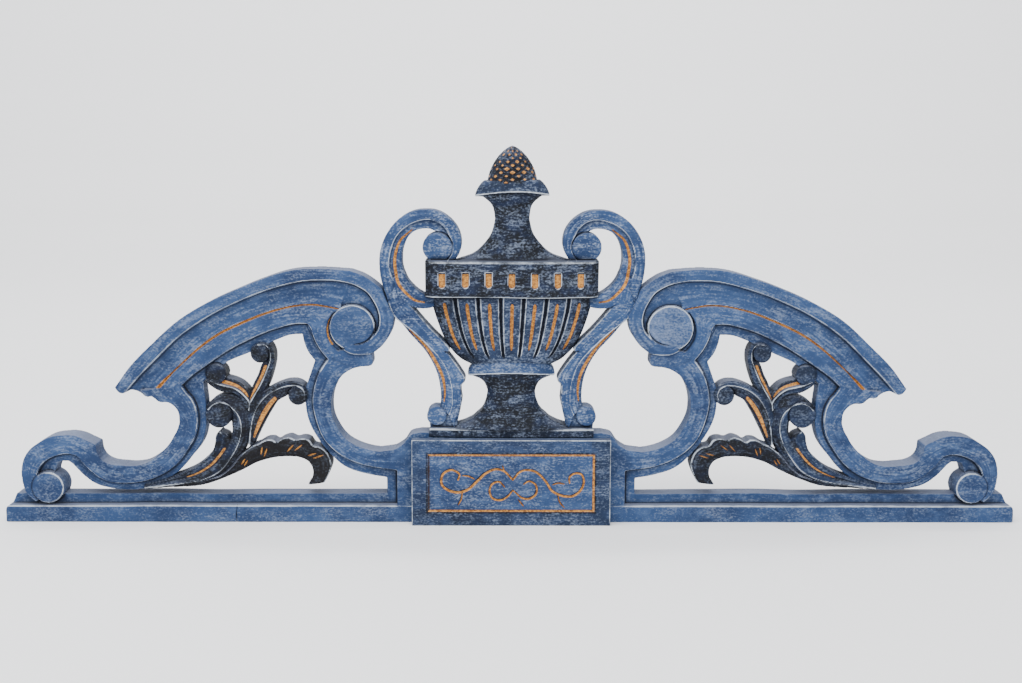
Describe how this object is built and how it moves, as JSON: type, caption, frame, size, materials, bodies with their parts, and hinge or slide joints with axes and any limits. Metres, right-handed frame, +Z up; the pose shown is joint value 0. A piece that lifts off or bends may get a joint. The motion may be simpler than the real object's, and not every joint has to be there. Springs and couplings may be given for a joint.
{
  "type": "carved headpiece",
  "caption": "Pierced and painted wooden headpiece: two scrolled wings on a moulded rail, a two-handled urn between them and an applied block.",
  "frame": {"origin": "middle of the footprint, on the underside of the rail", "axes": "+X to the viewer's right along the rail, -Y the carved front, +Y the flat back, +Z up"},
  "size_m": [1.2, 0.05, 0.444],
  "materials": {
    "worn_blue_paint": "chalky blue paint over wood, rubbed pale along the arrises, gilt in the grooves",
    "dark_blue_glaze": "near-black blue glaze over wood, dry-brushed pale, gilt in the flutes",
    "blue_panel_paint": "blue paint over wood, darker round a mid-blue panel with incised gilt lines"
  },
  "bodies": {
    "root": {"wing_left": "worn_blue_paint", "wing_right": "worn_blue_paint", "urn": "dark_blue_glaze", "centre_block": "blue_panel_paint"}
  },
  "joints": []
}
